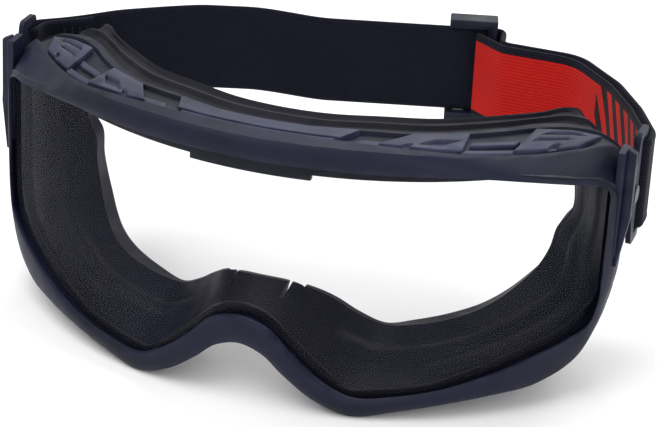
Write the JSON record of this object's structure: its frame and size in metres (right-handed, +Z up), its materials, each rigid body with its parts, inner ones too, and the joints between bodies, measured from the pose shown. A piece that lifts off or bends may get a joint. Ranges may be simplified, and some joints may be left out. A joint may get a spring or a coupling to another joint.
{
  "type": "safety goggles",
  "caption": "Wraparound safety goggles with a clear bent lens, soft face seal, vented brow and an adjustable elastic head strap on swivel clips.",
  "frame": {"origin": "middle of the face seal's forehead edge, where the goggles meet the brow", "axes": "+X to the wearer's left, +Y to the back of the head, +Z up"},
  "size_m": [0.1776, 0.1199, 0.0754],
  "materials": {
    "frame": "satin moulded plastic",
    "vent": "fine satin",
    "lens": "clear, smooth",
    "gasket": "soft matt",
    "seal": "soft, slightly glossy",
    "screen": "fine mesh",
    "hardware": "satin",
    "webbing": "woven elastic",
    "webbing_red": "woven elastic, red face with dark edges",
    "thread": "sewing thread"
  },
  "bodies": {
    "goggle": {"front_rim": "frame", "lens": "lens", "lens_gasket": "gasket", "brow_retainer": "frame", "frame_shell": "frame", "face_seal": "seal", "vent_cover_middle": "vent", "vent_cover_left": "vent", "vent_cover_right": "vent", "vent_screen_left": "screen", "vent_screen_right": "screen", "lower_vent_cover_left": "vent", "lower_vent_cover_right": "vent", "side_bracket_left": "frame", "side_bracket_right": "frame", "pivot_pin_left": "hardware", "pivot_pin_right": "hardware"},
    "head_strap": {"strap_clip_left": "hardware", "strap_clip_right": "hardware", "strap_webbing": "webbing", "strap_adjusting_leg": "webbing_red", "sewn_end_stitching": "thread"},
    "slider": {"strap_slider": "hardware"}
  },
  "joints": [
    {"name": "strap_swing", "type": "hinge", "parent": "goggle", "child": "head_strap", "pos_m": [0, 0.02543, -0.018], "axis": [1, 0, 0], "range_deg": [-15, 15]},
    {"name": "slider_travel", "type": "slide", "parent": "head_strap", "child": "slider", "axis": [-0.9578, -0.2873, 0], "range_m": [0, 0.03]}
  ]
}
